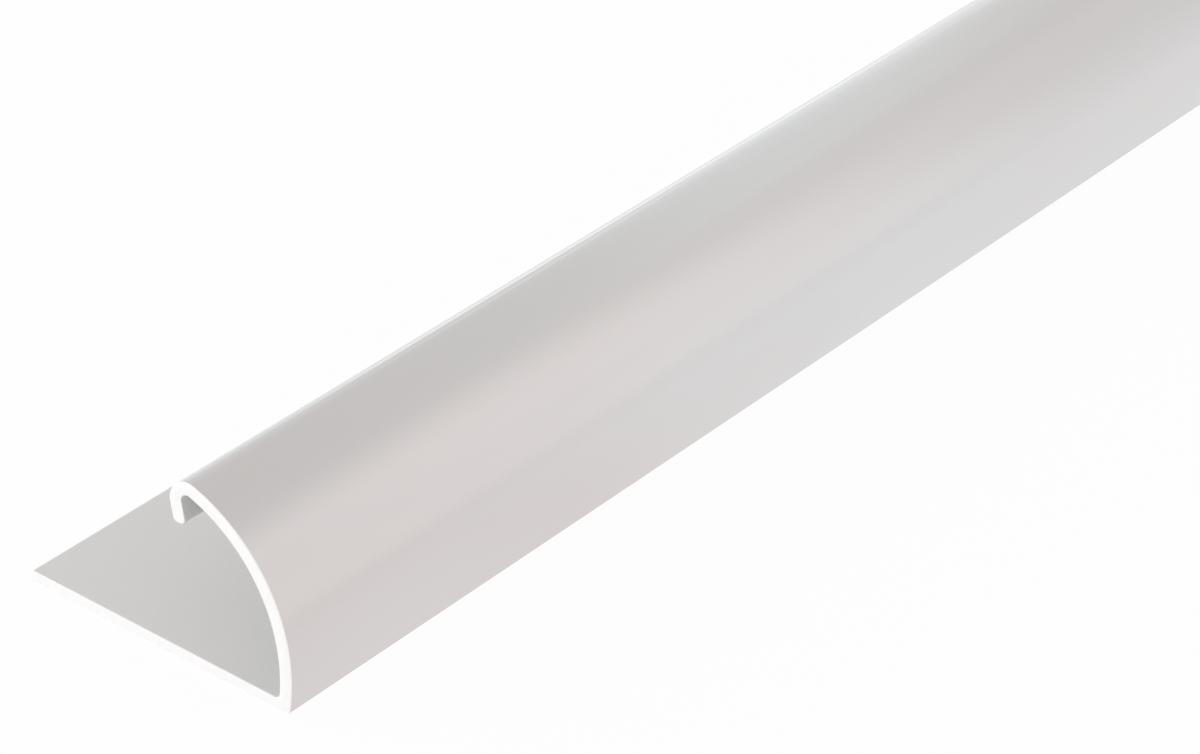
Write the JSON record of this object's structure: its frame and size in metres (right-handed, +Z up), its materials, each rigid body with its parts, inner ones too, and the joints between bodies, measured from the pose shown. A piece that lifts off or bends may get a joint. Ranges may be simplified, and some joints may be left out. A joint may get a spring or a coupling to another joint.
{
  "type": "aluminium stop profile",
  "caption": "Extruded aluminium edge trim with a flat leg, a quarter-round face and a rolled lip turned down into the hollow; it finishes the edge of a floor or wall covering.",
  "frame": {"origin": "on the underside of the leg, midway between its two long edges and at the middle of the length", "axes": "+X across the profile from the leg's free edge to the quarter-round face, +Y along the length, +Z up from the underside"},
  "size_m": [0.024, 1, 0.0145],
  "materials": {
    "satin_aluminium": "satin anodised, natural silver, with fine lines along the length; bright sawn ends"
  },
  "bodies": {
    "root": {"stop_profile": "satin_aluminium"}
  },
  "joints": []
}
